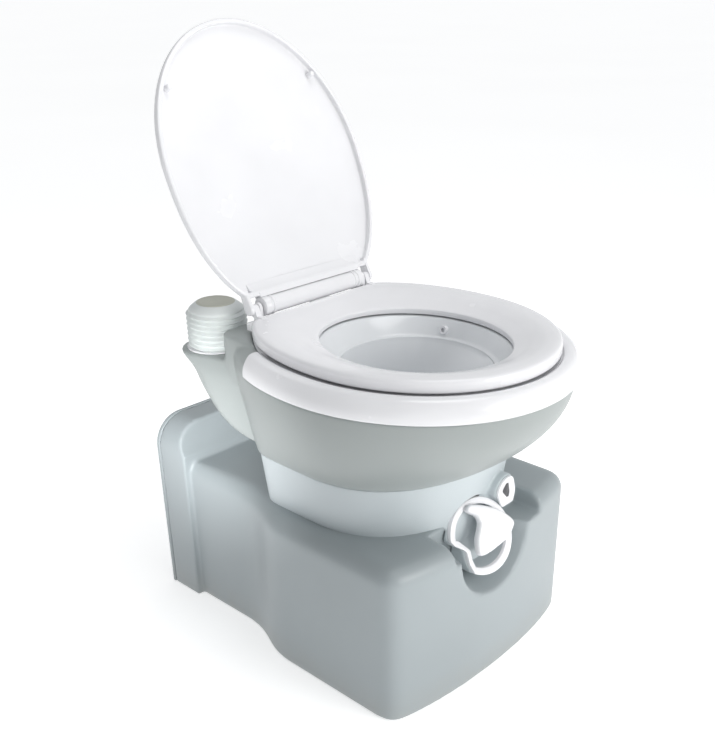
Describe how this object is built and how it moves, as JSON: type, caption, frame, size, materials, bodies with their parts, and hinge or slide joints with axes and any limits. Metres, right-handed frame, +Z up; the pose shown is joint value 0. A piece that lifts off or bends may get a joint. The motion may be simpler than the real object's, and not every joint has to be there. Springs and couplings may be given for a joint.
{
  "type": "cassette toilet",
  "caption": "Portable caravan toilet: a waste tank with a pull-out slide valve under a lift-off upper unit with bowl, bellows flush pump, hinged seat and open lid.",
  "frame": {"origin": "on the floor under the middle of the waste tank", "axes": "+Z up, -Y towards the front with the valve handle, +X to the sitter's left"},
  "size_m": [0.418, 0.579, 0.8172],
  "materials": {
    "tank_grey": "satin",
    "shell_grey": "satin",
    "collar_grey": "satin",
    "white_plastic": "glossy",
    "bowl_cream": "glossy",
    "bellows_rubber": "matte",
    "black_rubber": "matte",
    "dark_window": "glossy",
    "red_plastic": "satin",
    "steel": "brushed"
  },
  "bodies": {
    "waste_tank": {"holding_tank": "tank_grey", "rear_cover": "tank_grey", "valve_collar": "collar_grey", "valve_bezel": "white_plastic", "indicator_bezel": "white_plastic", "indicator_lens": "dark_window", "valve_frame_lower": "white_plastic", "valve_frame_upper": "white_plastic", "valve_seal_lower": "black_rubber", "valve_seal_upper": "black_rubber", "pour_spout": "tank_grey", "spout_seal": "black_rubber", "vent_body": "tank_grey", "float_bracket": "white_plastic", "float_pin": "steel"},
    "slide_valve": {"valve_blade": "white_plastic", "valve_rod": "steel", "pull_handle": "white_plastic"},
    "spout_lid": {"spout_cap": "white_plastic"},
    "vent_plunger": {"vent_button": "red_plastic", "vent_spring": "steel"},
    "float_arm": {"level_float": "red_plastic"},
    "upper_unit": {"upper_shell": "shell_grey", "rim_band": "white_plastic", "bowl": "bowl_cream", "outlet_gasket": "black_rubber", "flush_nozzle": "white_plastic", "delivery_pipe": "bellows_rubber", "filler_neck": "white_plastic", "flap_hinge": "white_plastic", "pump_collar": "white_plastic", "pump_valve": "black_rubber", "suction_pipe": "bellows_rubber", "bellows": "bellows_rubber", "pump_spring": "steel", "hinge_pin": "steel", "hinge_post_left": "white_plastic", "hinge_post_right": "white_plastic", "hinge_bolt_left": "steel", "hinge_bolt_right": "steel", "hinge_nut_left": "white_plastic", "hinge_nut_right": "white_plastic"},
    "pump_button": {"pump_cap": "bellows_rubber"},
    "flap": {"filler_flap": "white_plastic"},
    "seat": {"seat_ring": "white_plastic", "seat_buffer_front_left": "black_rubber", "seat_buffer_front_right": "black_rubber", "seat_buffer_rear_left": "black_rubber", "seat_buffer_rear_right": "black_rubber"},
    "lid": {"lid_panel": "white_plastic", "lid_barrel": "white_plastic", "lid_buffer_left": "white_plastic", "lid_buffer_right": "white_plastic"}
  },
  "joints": [
    {"name": "valve_pull", "type": "slide", "parent": "waste_tank", "child": "slide_valve", "axis": [0, -1, 0], "range_m": [0, 0.08]},
    {"name": "cap_lift", "type": "slide", "parent": "waste_tank", "child": "spout_lid", "axis": [0, 0, 1], "range_m": [0, 0.038]},
    {"name": "vent_press", "type": "slide", "parent": "waste_tank", "child": "vent_plunger", "axis": [0, 0, -1], "range_m": [0, 0.004], "stiffness_N_per_m": 900, "deforming": ["vent_spring"]},
    {"name": "float_swing", "type": "hinge", "parent": "waste_tank", "child": "float_arm", "pos_m": [0.096, -0.12, 0.205], "axis": [1, 0, 0], "range_deg": [0, 38]},
    {"name": "unit_lift", "type": "slide", "parent": "waste_tank", "child": "upper_unit", "axis": [0, 0, 1], "range_m": [0, 0.12]},
    {"name": "pump_press", "type": "slide", "parent": "upper_unit", "child": "pump_button", "axis": [0, 0, -1], "range_m": [0, 0.03], "stiffness_N_per_m": 600, "deforming": ["bellows", "pump_spring"]},
    {"name": "flap_hinge_turn", "type": "hinge", "parent": "upper_unit", "child": "flap", "pos_m": [0.112, 0.197, 0.414], "axis": [-1, 0, 0], "range_deg": [0, 100]},
    {"name": "seat_hinge", "type": "hinge", "parent": "upper_unit", "child": "seat", "pos_m": [0, 0.086, 0.473], "axis": [-1, 0, 0], "range_deg": [0, 105]},
    {"name": "lid_hinge", "type": "hinge", "parent": "upper_unit", "child": "lid", "pos_m": [0, 0.086, 0.473], "axis": [-1, 0, 0], "range_deg": [-114, 0]}
  ]
}
